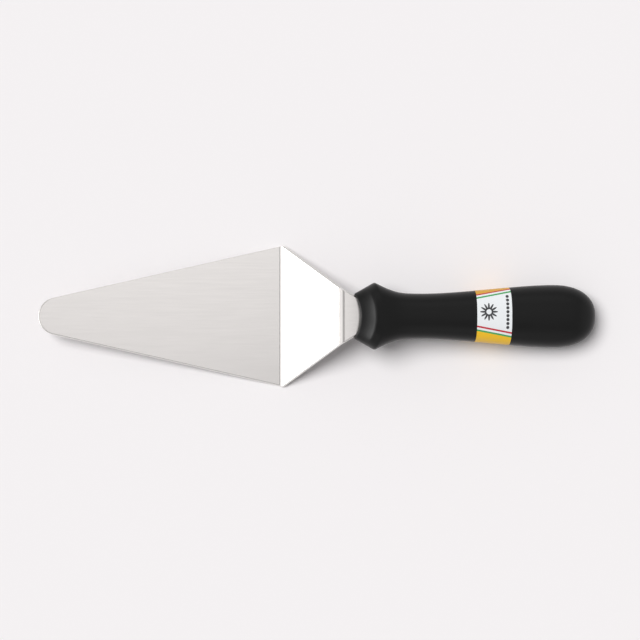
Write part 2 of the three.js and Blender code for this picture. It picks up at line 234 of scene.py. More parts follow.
class StageSettings(bpy.types.PropertyGroup):
    """The floor, the light and the camera."""

    floor: colour("Floor", "Colour of the floor", "#F4F1F2")
    floor_size: millimetres("Floor size", "Side of the floor", 12000)
    horizon: number("Horizon", "Brightness of the surround, low down", 0.8)
    zenith: number("Zenith", "Brightness of the surround, overhead", 0.36)
    ambient: number("Ambient", "Light from all round", 0.31)
    key: number("Key", "Strength of the lamp that casts the shadow", 2.4)
    key_size: degrees("Key size", "How large that lamp looks from the floor", 32)
    fill: number("Fill", "Strength of the lamp on the guard's front", 1.2)
    fill_size: degrees("Fill size", "How large that lamp looks from the handle", 40)
    camera_height: millimetres("Camera height", "Above the floor", 1000)
    view_width: millimetres("View width", "Width of the picture at the view height", 321.9)
    view_height: millimetres("View height", "Height of the blade's middle above the floor", 12)
    aim_x: millimetres("Aim X", "Where the camera looks, along the spatula", 1.5)
    aim_y: millimetres("Aim Y", "Where the camera looks, across the spatula", -1.9)


def give(tree, node, inputs):
    """Sets or links a node's inputs in use, given in order or by name."""
    in_use = [socket for socket in node.inputs if socket.enabled]
    for key, value in inputs.items() if isinstance(inputs, dict) else enumerate(inputs):
        target = next(s for s in in_use if s.name == key) if isinstance(key, str) else in_use[key]
        if isinstance(value, bpy.types.Node):
            value = next(socket for socket in value.outputs if socket.enabled)
        if isinstance(value, bpy.types.NodeSocket):
            tree.links.new(value, target)
        else:
            target.default_value = value


def add(tree, kind, inputs=(), **settings):
    """Adds a node with its settings and inputs."""
    node = tree.nodes.new(kind)
    for name, value in settings.items():
        setattr(node, name, value)
    give(tree, node, inputs)
    return node


def calc(tree, operation, *values):
    """Adds a node that works out a number."""
    return add(tree, "ShaderNodeMath", values, operation=operation)


def mix(tree, kind, share, start, end):
    """Adds a node that goes from one number or colour to another."""
    return add(tree, "ShaderNodeMix", {"Factor": share, "A": start, "B": end}, data_type=kind)


def new_tree(name, **inputs):
    """A Geometry Nodes tree with the named inputs; returns it and the sockets that give them."""
    tree = bpy.data.node_groups.new(name, "GeometryNodeTree")
    tree.interface.new_socket("Geometry", in_out="OUTPUT", socket_type="NodeSocketGeometry")
    for socket, kind in {"geometry": "Geometry", **inputs}.items():
        tree.interface.new_socket(socket, in_out="INPUT", socket_type="NodeSocket" + kind)
    return tree, tree.nodes.new("NodeGroupInput").outputs


def keep_result(piece):
    """Makes what an object's modifiers give its plain mesh, and removes the modifiers."""
    depsgraph = bpy.context.evaluated_depsgraph_get()
    made = bpy.data.meshes.new_from_object(
        piece.evaluated_get(depsgraph), preserve_all_data_layers=True, depsgraph=depsgraph
    )
    piece.modifiers.clear()
    before, piece.data = piece.data, made
    bpy.data.meshes.remove(before)
    made.name = piece.name


def run_tree(piece, tree, **values):
    """Runs a Geometry Nodes tree on an object and keeps what it gives."""
    modifier = piece.modifiers.new(tree.name, "NODES")
    modifier.node_group = tree
    for item in tree.interface.items_tree:
        if item.in_out == "INPUT" and item.name in values:
            modifier[item.identifier] = values[item.name]
    keep_result(piece)


def new_piece(name, points, faces=(), edges=()):
    """An object of those points and faces, smoothly shaded."""
    mesh = bpy.data.meshes.new(name)
    mesh.from_pydata(points, edges, faces)
    mesh.shade_smooth()
    piece = bpy.data.objects.new(name, mesh)
    bpy.context.scene.collection.objects.link(piece)
    return piece


def stand_for(piece, node):
    """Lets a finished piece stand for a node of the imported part."""
    piece.data.set_sharp_from_angle(angle=SHARP_ANGLE)
    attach(piece, "root")
    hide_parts(node)


def lying():
    """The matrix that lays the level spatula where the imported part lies, from its blade's mount."""
    blade = bpy.context.scene.spatula_blade
    mount = next(m for m in frame["record"]["mounts"] if m["name"] == MOUNT)
    tip_back = math.atan2(-mount["axis"][0], -mount["axis"][2])
    on_level = Vector((MOUNT_SHARE * blade.blade_length, 0, -blade.sheet / 2))
    return (
        Matrix.Translation(mount["pos_m"])
        @ Matrix.Rotation(tip_back, 4, "Y")
        @ Matrix.Translation(-on_level)
    )


def quadratic(start, corner, end, steps):
    """Points on the curve that leaves its start and meets its end in the direction of a corner."""
    return interpolate_bezier(start, start.lerp(corner, 2 / 3), end.lerp(corner, 2 / 3), end, steps)


def rounded(before, corner, after, trim):
    """Points round a corner of an outline, which takes `trim` of the edge on each side."""
    start = corner + (before - corner).normalized() * trim
    end = corner + (after - corner).normalized() * trim
    return quadratic(start, corner, end, CORNER_STEPS)


def value_at(outline, place):
    """The value at a place of an outline given as points (place, value) in rising place."""
    after = next((i for i, p in enumerate(outline) if p[0] >= place), len(outline) - 1)
    low, high = outline[max(after - 1, 0)], outline[after]
    share = (place - low[0]) / ((high[0] - low[0]) or 1)
    return low[1] + (high[1] - low[1]) * share


def thinned(outline, least):
    """An outline without the points that stand nearer than `least` to the one before."""
    kept = [outline[0]]
    for point in outline:
        if (point - kept[-1]).length > least:
            kept.append(point)
    return kept


def lip_distance(blade):
    """From the tip to the handle's lip, along the flat blank."""
    return blade.blade_length + blade.riser_length + blade.neck_length


def fold_arcs(blade):
    """The length of sheet in the first fold and in the second."""
    radii = (blade.heel_radius, blade.neck_radius)
    return [blade.fold_angle * (radius + blade.sheet / 2) for radius in radii]


def lip_place(blade):
    """Where the handle's axis starts: the middle of the neck, level with the lip."""
    angle = blade.fold_angle
    bent = sum(fold_arcs(blade))
    slanted = blade.riser_length - bent / 2
    level = blade.blade_length + blade.neck_length - bent / 2
    run = level + slanted * math.cos(angle) + bent / angle * math.sin(angle)
    rise = slanted * math.sin(angle) + bent / angle * (1 - math.cos(angle))
    return Vector((run, 0, rise))


def blank_side(blade):
    """One side of the flat blank from tip to tang, as (distance from the tip, half width)."""
    lip = lip_distance(blade)
    shoulder = Vector((blade.blade_length + blade.shoulder_past_fold, blade.blade_width / 2))
    taper = (blade.blade_width - blade.neck_width) / 2 / (lip - shoulder.x)
    narrowing = (blade.neck_width - blade.tang_width) / 2
    tang_start = Vector((lip + narrowing / taper, blade.tang_width / 2))
    tang_end = Vector((lip + blade.tang_length, blade.tang_width / 2))

    # The straight side is the tangent from the shoulder to the tip's circle.
    radius = blade.tip_radius
    reach = shoulder - Vector((radius, 0))
    slant = math.atan2(reach.y, reach.x) - math.asin(radius / reach.length)
    turns = [(math.pi / 2 - slant) * i / TIP_STEPS for i in range(TIP_STEPS + 1)]
    tip = [Vector((radius * (1 - math.cos(t)), radius * math.sin(t))) for t in turns]
    outline = [
        *tip,
        *rounded(tip[-1], shoulder, tang_start, blade.shoulder_trim),
        *rounded(shoulder, tang_start, tang_end, blade.tang_trim),
        *rounded(tang_start, tang_end, Vector((tang_end.x, 0)), blade.tang_trim),
    ]

    # Rows across each fold let the sheet bend there.
    folds = (blade.blade_length, blade.blade_length + blade.riser_length)
    for fold, arc in zip(folds, fold_arcs(blade)):
        start = fold - arc / 2
        rows = [start + arc * i / FOLD_STEPS for i in range(FOLD_STEPS + 1)]
        rows += [start - SHADING_MARGIN, start + arc + SHADING_MARGIN]
        outline += [Vector((row, value_at(outline, row))) for row in rows]
        outline.sort(key=lambda p: (p.x, -p.y))
    return thinned(outline, OUTLINE_STEP)


def inset(loop, distance):
    """A closed clockwise loop moved inwards."""
    moved = []
    for i, point in enumerate(loop):
        before = (point - loop[i - 1]).normalized()
        after = (loop[(i + 1) % len(loop)] - point).normalized()
        inwards = Vector((before.y + after.y, -before.x - after.x))
        moved.append(point + inwards * distance / (1 + before.dot(after)))
    return moved


def flat_blank(name, blade, grow=0.0):
    """The flat steel blank with rounded edges, grown all over by `grow`."""
    side = blank_side(blade)
    loop = side + [Vector((p.x, -p.y)) for p in reversed(side[1:])]
    count = len(loop)

    # The edge from the sheet's underside to its top, as (inset, height above the middle)
    turns = [math.pi / 2 * i / EDGE_STEPS for i in range(EDGE_STEPS + 1)]
    half = blade.sheet / 2
    radius = min(blade.edge_round, EDGE_SHARE * half)
    top = [(radius * (1 - math.cos(t)), half - radius * (1 - math.sin(t))) for t in turns]
    top.append((radius + SHADING_MARGIN, half))
    edge = [(inwards, -height) for inwards, height in reversed(top)] + top

    points = [
        (p.x, p.y, height + math.copysign(grow, height))
        for inwards, height in edge
        for p in inset(loop, inwards - grow)
    ]
    faces = []
    for ring in range(len(edge) - 1):
        for i in range(count):
            here, after = ring * count + i, ring * count + (i + 1) % count
            faces.append((here, here + count, after + count, after))
    # Each face of the sheet is filled by strips between the points that mirror each other.
    last = (len(edge) - 1) * count
    for near in range(len(side) - 1):
        far = near + 1
        strip = [near, far, count - far] + ([count - near] if near else [])
        faces.append(strip)
        faces.append([last + i for i in reversed(strip)])
    return new_piece(name, points, faces)


def fold_tree():
    """Bends a sheet in the XY plane upwards by an angle, over an arc from a start along X."""
    tree, given = new_tree("Fold", start="Float", arc="Float", angle="Float")
    place = add(tree, "ShaderNodeSeparateXYZ", [add(tree, "GeometryNodeInputPosition")])
    beyond = calc(tree, "SUBTRACT", place.outputs["X"], given["start"])
    in_arc = add(tree, "ShaderNodeClamp", [beyond, 0.0, given["arc"]])
    radius = calc(tree, "DIVIDE", given["arc"], given["angle"])
    turned = calc(tree, "DIVIDE", in_arc, radius)

    # The sheet slides back by its length in the arc, and that length turns about the fold's axis.
    slid = calc(tree, "SUBTRACT", place.outputs["X"], in_arc)
    flat = add(tree, "ShaderNodeCombineXYZ", [slid, place.outputs["Y"], place.outputs["Z"]])
    axis = add(tree, "ShaderNodeCombineXYZ", [given["start"], 0.0, radius])
    bent = add(
        tree,
        "ShaderNodeVectorRotate",
        {"Vector": flat, "Center": axis, "Angle": turned},
        rotation_type="Y_AXIS",
        invert=True,
    )
    moved = add(tree, "GeometryNodeSetPosition", {"Geometry": given["geometry"], "Position": bent})
    add(tree, "NodeGroupOutput", [moved])
    return tree


def folded_sheet_tree():
    """Punches holes in a flat blank, notes each point's flat place, and folds it up and back."""
    tree, given = new_tree(
        "Folded sheet",
        hole_diameter="Float",
        hole_count="Int",
        hole_spacing="Float",
        last_hole="Float",
        heel_start="Float",
        heel_arc="Float",
        neck_start="Float",
        neck_arc="Float",
        fold_angle="Float",
        steel="Material",
    )
    radius = calc(tree, "MULTIPLY", given["hole_diameter"], 0.5)
    backwards = calc(tree, "MULTIPLY", given["hole_spacing"], -1.0)
    places = add(
        tree,
        "GeometryNodeMeshLine",
        {
            "Count": given["hole_count"],
            "Start Location": add(tree, "ShaderNodeCombineXYZ", [given["last_hole"]]),
            "Offset": add(tree, "ShaderNodeCombineXYZ", [backwards]),
        },
    )
    post = add(
        tree,
        "GeometryNodeMeshCylinder",
        {"Vertices": HOLE_SIDES, "Radius": radius, "Depth": given["hole_diameter"]},
    )
    posts = add(tree, "GeometryNodeInstanceOnPoints", {"Points": places, "Instance": post})
    punched = add(
        tree,
        "GeometryNodeMeshBoolean",
        [given["geometry"], add(tree, "GeometryNodeRealizeInstances", [posts])],
        operation="DIFFERENCE",
        solver="EXACT",
    )
    noted = add(
        tree,
        "GeometryNodeStoreNamedAttribute",
        {"Geometry": punched, "Name": "flat", "Value": add(tree, "GeometryNodeInputPosition")},
        data_type="FLOAT_VECTOR",
    )

    # The far fold is made first, while the sheet before it still lies flat.
    fold = fold_tree()
    down = calc(tree, "MULTIPLY", given["fold_angle"], -1.0)
    folded = noted
    for place, angle in (("neck", down), ("heel", given["fold_angle"])):
        folded = add(
            tree,
            "GeometryNodeGroup",
            [folded, given[place + "_start"], given[place + "_arc"], angle],
            node_tree=fold,
        )
    whole = add(tree, "GeometryNodeRealizeInstances", [folded])
    finished = add(tree, "GeometryNodeSetMaterial", {"Geometry": whole, "Material": given["steel"]})
    add(tree, "NodeGroupOutput", [finished])
    return tree


def fold_sheet(sheet, blade, hole, material):
    """Punches and folds a flat blank into the level blade."""
    heel_arc, neck_arc = fold_arcs(blade)
    run_tree(
        sheet,
        folded_sheet_tree(),
        hole_diameter=hole,
        hole_count=blade.anchor_holes,
        hole_spacing=blade.anchor_spacing,
        last_hole=lip_distance(blade) + blade.tang_length - blade.anchor_from_end,
        heel_start=blade.blade_length - heel_arc / 2,
        heel_arc=heel_arc,
        neck_start=blade.blade_length + blade.riser_length - neck_arc / 2,
        neck_arc=neck_arc,
        fold_angle=blade.fold_angle,
        steel=material,
    )


def grip_outline(handle, lip, guard_at, guard, waist, butt, dome, hollow=0.0):
    """Half the handle's width or thickness along it, as (distance from the lip, half size)."""
    guard_point = Vector((guard_at, guard / 2))
    flare_end = Vector((guard_at + handle.flare_length, waist / 2))
    waist_point = Vector((handle.waist_at, waist / 2))
    dome_point = Vector((handle.length - dome, butt / 2))
    swell = Vector((dome_point.x - waist_point.x, 0))
    lip_point = Vector((0, lip / 2))
    # The front's curve goes halfway to this corner, so the corner lies twice as deep.
    guard_middle = lip_point.lerp(guard_point, 0.5) - Vector((0, 2 * hollow))
    lip_curve = rounded(Vector((0, 0)), lip_point, guard_middle, handle.lip_round)
    guard_curve = rounded(guard_middle, guard_point, flare_end, handle.guard_trim)
    front = quadratic(lip_curve[-1], guard_middle, guard_curve[0], GRIP_STEPS)
    flare = interpolate_bezier(
        guard_curve[-1],
        guard_curve[-1].lerp(flare_end, FLARE_PULL),
        waist_point.lerp(flare_end, FLARE_PULL),
        waist_point,
        GRIP_STEPS,
    )
    grip = interpolate_bezier(
        waist_point,
        waist_point + swell * WAIST_EASE,
        dome_point - swell * BUTT_EASE,
        dome_point,
        GRIP_STEPS,
    )
    turns = [math.pi / 2 * i / GRIP_STEPS for i in range(1, GRIP_STEPS)]
    power = 2 / BUTT_POWER
    end = [
        dome_point + Vector((dome * math.sin(t) ** power, butt / 2 * (math.cos(t) ** power - 1)))
        for t in turns
    ]
    return [*lip_curve, *front, *guard_curve, *flare, *grip, *end, Vector((handle.length, 0))]


def grip_outlines(handle):
    """The handle's outline from above and from the side."""
    plan = grip_outline(
        handle,
        handle.lip_width,
        handle.guard_at,
        handle.guard_width,
        handle.waist_width,
        handle.butt_width,
        handle.butt_dome,
    )
    side = grip_outline(
        handle,
        handle.lip_thickness,
        handle.crest_at,
        handle.guard_thickness,
        handle.waist_thickness,
        handle.butt_thickness,
        handle.butt_dome_side,
        handle.guard_hollow,
    )
    return plan, side


def bow_at(handle, place):
    """How far the middle of the section there stands behind its ends: level from the waist on."""
    if place < handle.crest_at:
        added = (handle.crest_bow - handle.mouth_scoop) * place / handle.crest_at
        return handle.mouth_scoop + added
    fade = (place - handle.crest_at) / (handle.waist_at - handle.crest_at)
    return handle.crest_bow * max(0, 1 - fade)


def grip_ring(handle, outlines, place, turns, parting_height=0.0):
    """Points of the handle's skin at a distance from its lip, turning from +Y upwards."""
    half_width, half_thickness = (value_at(outline, place) for outline in outlines)
    bow = bow_at(handle, place)
    ring = []
    for turn in turns:
        cos, sin = math.cos(turn), math.sin(turn)
        across = math.copysign(abs(cos) ** (2 / SECTION_POWER), cos)
        up = math.copysign(abs(sin) ** (2 / SECTION_POWER), sin)
        behind = bow * (1 - across**2)
        proud = parting_height if turn in (0, math.pi) else 0
        out = 1 + proud / half_width
        ring.append(Vector((place + behind, half_width * across * out, half_thickness * up)))
    return ring


def grip_body(name, handle):
    """The handle as one closed form on its own axis, with the mould's parting line at its sides."""
    outlines = grip_outlines(handle)
    plan, side = outlines
    at_crest = [Vector((p.x, value_at(plan, p.x))) for p in side if p.x < handle.guard_at]
    sections = sorted([*plan, *at_crest], key=lambda p: p.x)
    places = [p.x for p in thinned(sections, SECTION_STEP)][:-1]
    points = []
    for place in places:
        share = min(handle.parting_width / 2 / value_at(side, place), PARTING_SHARE)
        parting = share ** (SECTION_POWER / 2)
        between = [math.pi * i / RING_STEPS for i in range(1, RING_STEPS)]
        upper = [parting, *between, math.pi - parting]
        turns = [0, *upper, math.pi, *(-t for t in reversed(upper))]
        points += grip_ring(handle, outlines, place, turns, handle.parting_height)
    count = len(points) // len(places)
    butt_end = len(points)
    points.append(Vector((handle.length, 0, 0)))

    faces = []
    for ring in range(len(places)):
        for i in range(count):
            here, beside = ring * count + i, ring * count + (i + 1) % count
            if ring < len(places) - 1:
                faces.append((here, beside, beside + count, here + count))
            else:
                faces.append((here, beside, butt_end))
    # The hollow front runs straight up and down between the lip's upper and lower edge.
    for i in range(count // 2):
        corners = [i, (count - i) % count, count - i - 1, i + 1]
        faces.append(list(dict.fromkeys(corners)))
    return new_piece(name, points, faces)


def wrapped_label_tree():
    """Sweeps a strip along a ring, lays it on a surface, and gives it thickness and a map."""
    tree, given = new_tree(
        "Wrapped label",
        surface="Object",
        axis="Vector",
        width="Float",
        gap="Float",
        thickness="Float",
        round_steps="Int",
        length_steps="Int",
        paper="Material",
    )
    ring = add(tree, "GeometryNodeMeshToCurve", [given["geometry"]])
    ring = add(tree, "GeometryNodeResampleCurve", {"Curve": ring, "Count": given["round_steps"]})
    factor = add(tree, "GeometryNodeSplineParameter")
    ring = add(
        tree,
        "GeometryNodeStoreNamedAttribute",
        {"Geometry": ring, "Name": "round", "Value": factor.outputs["Factor"]},
    )
    ring = add(
        tree, "GeometryNodeSetCurveNormal", {"Curve": ring, "Normal": given["axis"]}, mode="FREE"
    )
    start, end = (
        add(
            tree,
            "ShaderNodeVectorMath",
            {"Vector": (share, 0, 0), "Scale": given["width"]},
            operation="SCALE",
        )
        for share in (-0.5, 0.5)
    )
    strip = add(tree, "GeometryNodeCurvePrimitiveLine", {"Start": start, "End": end})
    strip = add(tree, "GeometryNodeResampleCurve", {"Curve": strip, "Count": given["length_steps"]})
    strip = add(
        tree,
        "GeometryNodeStoreNamedAttribute",
        {"Geometry": strip, "Name": "along", "Value": factor.outputs["Factor"]},
    )
    band = add(tree, "GeometryNodeCurveToMesh", {"Curve": ring, "Profile Curve": strip})

    # Each point goes to the nearest place of the surface, and stands off it by the gap.
    place = add(tree, "GeometryNodeInputPosition")
    surface = add(tree, "GeometryNodeObjectInfo", [given["surface"]]).outputs["Geometry"]
    nearest, outwards = (
        add(
            tree,
            "GeometryNodeSampleNearestSurface",
            {"Mesh": surface, "Value": value, "Sample Position": place},
            data_type="FLOAT_VECTOR",
        )
        for value in (place, add(tree, "GeometryNodeInputNormal"))
    )
    stand_off = add(
        tree, "ShaderNodeVectorMath", {"Vector": outwards, "Scale": given["gap"]}, operation="SCALE"
    )
    laid = add(tree, "ShaderNodeVectorMath", [nearest, stand_off], operation="ADD")
    band = add(tree, "GeometryNodeSetPosition", {"Geometry": band, "Position": laid})
    shares = [add(tree, "GeometryNodeInputNamedAttribute", [name]) for name in ("round", "along")]
    band = add(
        tree,
        "GeometryNodeStoreNamedAttribute",
        {"Geometry": band, "Name": "print", "Value": add(tree, "ShaderNodeCombineXYZ", shares)},
        data_type="FLOAT2",
        domain="CORNER",
    )

    # The outer face is pushed out, and the inner one closes the paper behind it.
    raised = add(
        tree,
        "GeometryNodeExtrudeMesh",
        {"Mesh": band, "Offset Scale": given["thickness"], "Individual": False},
    )
    inner = add(tree, "GeometryNodeFlipFaces", [band])
    joined = add(tree, "GeometryNodeJoinGeometry")
    for side in (inner, raised):
        give(tree, joined, [side])
    sealed = add(tree, "GeometryNodeMergeByDistance", {"Geometry": joined, "Distance": WELD})
    whole = add(tree, "GeometryNodeRealizeInstances", [sealed])
    finished = add(tree, "GeometryNodeSetMaterial", {"Geometry": whole, "Material": given["paper"]})
    add(tree, "NodeGroupOutput", [finished])
    return tree


def new_material(name):
    """A material with one Principled shader; returns it, its tree and the shader."""
    material = bpy.data.materials.new(name)
    material.use_nodes = True
    return material, material.node_tree, material.node_tree.nodes["Principled BSDF"]


def satin_steel(blade):
    """Stainless steel sheet, brushed along its length before folding, its cut edges polished.

    To the eye it is a soft grey mirror with faint streaks along it and a bright line on every edge,
    which the edges' lighter tint brightens as a painted highlight.
    """
    material, tree, shader = new_material("brushed_stainless_steel")
    give(tree, shader, {"Metallic": 1.0})
    flat = add(tree, "ShaderNodeAttribute", attribute_name="flat").outputs["Vector"]

    # Real brush marks are some 0.05 mm wide; these are ten times that, so that they show.
    mark_length, mark_width, mark_depth = 18 * MM, 0.5 * MM, 0.0008 * MM
    marks_per_metre = (1 / mark_length, 1 / mark_width, 1 / mark_width)
    in_marks = add(tree, "ShaderNodeMapping", {"Vector": flat, "Scale": marks_per_metre})
    marks = add(
        tree,
        "ShaderNodeTexNoise",
        {"Vector": in_marks, "Scale": 1.0, "Detail": 3.0, "Roughness": 0.6},
    )

    # What lies deeper than the sheet's faces is cut edge, and is polished instead of brushed.
    # Its lighter tint is a painted highlight that brightens the line on every edge.
    face_depth = 0.08 * MM
    finest, coarsest, polished = 0.195, 0.225, 0.16
    height = add(tree, "ShaderNodeSeparateXYZ", [flat]).outputs["Z"]
    from_middle = calc(tree, "ABSOLUTE", height)
    half = blade.sheet / 2
    edge = add(tree, "ShaderNodeMapRange", [from_middle, half - face_depth, half, 1.0, 0.0])
    brushed = add(tree, "ShaderNodeMapRange", [marks, *NOISE_RANGE, finest, coarsest])
    roughness = mix(tree, "FLOAT", edge, brushed, polished)
    tint = mix(tree, "RGBA", edge, (*blade.steel, 1), (*blade.edge_highlight_steel, 1))
    bump = add(tree, "ShaderNodeBump", {"Strength": 0.1, "Distance": mark_depth, "Height": marks})
    give(tree, shader, {"Base Color": tint, "Roughness": roughness, "Normal": bump})
    return material


def satin_plastic(handle):
    """Polypropylene, injection moulded against a spark-eroded steel mould.

    To the eye it is black with a soft broad sheen and a fine even pebble.
    """
    material, tree, shader = new_material("moulded_polypropylene")
    give(tree, shader, {"IOR": 1.49, "Specular IOR Level": 0.28})
    place = add(tree, "ShaderNodeTexCoord").outputs["Object"]

    # The eroded pits are some 0.1 mm across; these are three times that, so that they show.
    # Their bottoms are darkened by a painted shade.
    pit_width, pit_depth, painted_pit_shade = 0.3 * MM, 0.03 * MM, 0.8
    pits = add(tree, "ShaderNodeTexNoise", {"Vector": place, "Scale": 1 / pit_width, "Detail": 2.0})
    pit_painted_shade_colour = [painted_pit_shade * c for c in handle.plastic]
    tint = mix(tree, "RGBA", pits, (*pit_painted_shade_colour, 1), (*handle.plastic, 1))
    bump = add(tree, "ShaderNodeBump", {"Strength": 0.3, "Distance": pit_depth, "Height": pits})

    # The melt cooled unevenly as it flowed in, so the sheen varies over some 14 mm.
    flow_size = 14 * MM
    glossiest, dullest = 0.36, 0.42
    flow = add(tree, "ShaderNodeTexNoise", {"Vector": place, "Scale": 1 / flow_size, "Detail": 2.0})
    sheen = add(tree, "ShaderNodeMapRange", [flow, *NOISE_RANGE, glossiest, dullest])
    give(tree, shader, {"Base Color": tint, "Roughness": sheen, "Normal": bump})
    return material


def printed_paper(label, around):
    """Coated paper, printed in flat colours and varnished.

    To the eye it is a bright panel between pairs of thin lines on a warm ground, with a low gloss.
    The ground is one yellow, painted darker on the far side as shade and lighter on the near side as
    light.
    """
    material, tree, shader = new_material("varnished_printed_paper")
    give(tree, shader, {"Roughness": 0.42, "IOR": 1.5})
    place = add(
        tree,
        "ShaderNodeMapping",
        {
            "Vector": add(tree, "ShaderNodeUVMap", uv_map="print"),
            "Location": (-around / 2 - label.panel_shift, -label.width / 2, 0),
            "Scale": (around, label.width, 1),
        },
    )
    off, along, _ = add(tree, "ShaderNodeSeparateXYZ", [place]).outputs

    # The panel opens towards the butt like a fan, and on each side a pair of lines runs beside it.
    # Beyond them the ground is painted darker on the far side as painted shade, and lighter on the
    # near side as painted light.
    half = calc(tree, "MULTIPLY_ADD", along, label.panel_spread, label.panel_half)
    far_half = calc(tree, "MULTIPLY", half, -1.0)
    in_panel = add(tree, "ShaderNodeClamp", [off, far_half, half])
    beyond = calc(tree, "SUBTRACT", off, in_panel)
    first, second = label.line_gap, 2 * label.line_gap + label.line_width
    stops = (
        (-second - label.line_width, label.red_line),
        (-second, label.paper),
        (-first - label.line_width, label.green_line),
        (-first, label.paper),
        (first, label.red_line),
        (first + label.line_width, label.paper),
        (second, label.green_line),
        (second + label.line_width, label.near_ground_painted_light),
    )
    reach = 2 * second
    across = add(tree, "ShaderNodeMapRange", [beyond, -reach, reach])
    zones = add(tree, "ShaderNodeValToRGB", [across])
    ramp = zones.color_ramp
    ramp.interpolation = "CONSTANT"
    ramp.elements[0].color = (*label.far_ground_painted_shade, 1)
    ramp.elements.remove(ramp.elements[1])
    for at, tone in stops:
        ramp.elements.new(0.5 + at / reach / 2).color = (*tone, 1)

    # A rosette of petals with an open middle
    middle = (0, label.rosette_at, 0)
    in_rosette = add(tree, "ShaderNodeVectorMath", [place, middle], operation="SUBTRACT")
    from_middle = add(tree, "ShaderNodeVectorMath", [in_rosette], operation="LENGTH")
    turn = add(tree, "ShaderNodeTexGradient", [in_rosette], gradient_type="RADIAL")
    wave = calc(tree, "MULTIPLY", turn, label.petals * math.tau)
    petal = calc(tree, "COSINE", wave)
    rim = add(
        tree, "ShaderNodeMapRange", [petal, -1.0, 1.0, label.rosette_valley, label.rosette_radius]
    )
    within = calc(tree, "LESS_THAN", from_middle, rim)
    outside = calc(tree, "GREATER_THAN", from_middle, label.rosette_hole)
    rosette = calc(tree, "MULTIPLY", within, outside)

    # A row of beads beside the label's far edge
    bead = calc(tree, "PINGPONG", off, label.bead_pitch / 2)
    past_row = calc(tree, "SUBTRACT", along, label.bead_at)
    in_bead = add(tree, "ShaderNodeCombineXYZ", [bead, past_row])
    from_bead = add(tree, "ShaderNodeVectorMath", [in_bead], operation="LENGTH")
    round_bead = calc(tree, "LESS_THAN", from_bead, label.bead_radius)
    to_side = calc(tree, "ABSOLUTE", off)
    in_row = calc(tree, "LESS_THAN", to_side, label.bead_row / 2)
    beads = calc(tree, "MULTIPLY", round_bead, in_row)
    inked = calc(tree, "MAXIMUM", rosette, beads)
    printed = mix(tree, "RGBA", inked, zones, (*label.ink, 1))

    # Fibres mottle the ink and lift the varnish. Real ones are some 0.04 mm wide; these are ten
    # times that, so that they show.
    fibre, lift, faintest = 0.4 * MM, 0.01 * MM, 0.93
    fibres = add(tree, "ShaderNodeTexNoise", {"Vector": place, "Scale": 1 / fibre, "Detail": 4.0})
    mottle = add(tree, "ShaderNodeMapRange", [fibres, *FINE_NOISE_RANGE, faintest, 1.0])
    mottled = add(
        tree, "ShaderNodeVectorMath", {"Vector": printed, "Scale": mottle}, operation="SCALE"
    )
    bump = add(tree, "ShaderNodeBump", {"Strength": 0.2, "Distance": lift, "Height": fibres})
    give(tree, shader, {"Base Color": mottled, "Normal": bump})
    return material


def painted_board(stage):
    """Matt painted board: a plain pale floor."""
    material, tree, shader = new_material("matt_painted_board")
    matt = {"Base Color": (*stage.floor, 1), "Roughness": 0.9, "Specular IOR Level": 0.1}
    give(tree, shader, matt)
    return material


def studio_light(stage):
    """A pale surround with soft boxes for the camera and what shines, and even light elsewhere."""
    world = bpy.data.worlds.new("Studio")
    world.use_nodes = True
    tree = world.node_tree
    looks = add(tree, "ShaderNodeTexCoord").outputs["Generated"]
    up = add(tree, "ShaderNodeSeparateXYZ", [looks]).outputs["Z"]
    shown = add(
        tree,
        "ShaderNodeMapRange",
        [up, *SURROUND_FADE, stage.horizon, stage.zenith],
        interpolation_type="SMOOTHSTEP",
    )
    for direction, reach, strength in SOFT_BOXES:
        middle = [d / r for d, r in zip(Vector(direction).normalized(), reach)]
        place = add(tree, "ShaderNodeVectorMath", [looks, reach], operation="DIVIDE")
        away = add(tree, "ShaderNodeVectorMath", [place, middle], operation="DISTANCE")
        glow = add(
            tree,
            "ShaderNodeMapRange",
            [away, 1.0, BOX_CORE, 0.0, strength],
            interpolation_type="SMOOTHSTEP",
        )
        shown = calc(tree, "ADD", shown, glow)
    rays = add(tree, "ShaderNodeLightPath").outputs
    shows = rays["Is Camera Ray"]
    for kind in ("Is Glossy Ray", "Is Transmission Ray"):
        shows = calc(tree, "MAXIMUM", shows, rays[kind])
    strength = mix(tree, "FLOAT", shows, stage.ambient, shown)
    give(tree, tree.nodes["Background"], {"Color": (1, 1, 1, 1), "Strength": strength})
    return world


def distant_lamp(name, direction, strength, size):
    """A lamp far off in a direction."""
    lamp = bpy.data.lights.new(name, "SUN")
    lamp.energy = strength
    lamp.angle = size
    placed = bpy.data.objects.new(name, lamp)
    placed.rotation_euler = Vector(direction).to_track_quat("Z", "Y").to_euler()
    bpy.context.scene.collection.objects.link(placed)
    return placed


class SPATULA_OT_fold_blade(bpy.types.Operator):
    """Cut the blade flat, punch its tang and fold it twice"""

    bl_idname = "spatula.fold_blade"
    bl_label = "Fold blade"

    def execute(self, context):
        blade = context.scene.spatula_blade
        piece = flat_blank("folded_blade", blade)
        fold_sheet(piece, blade, blade.anchor_hole, satin_steel(blade))
        piece.data.transform(lying())
        stand_for(piece, "blade")
        return {"FINISHED"}


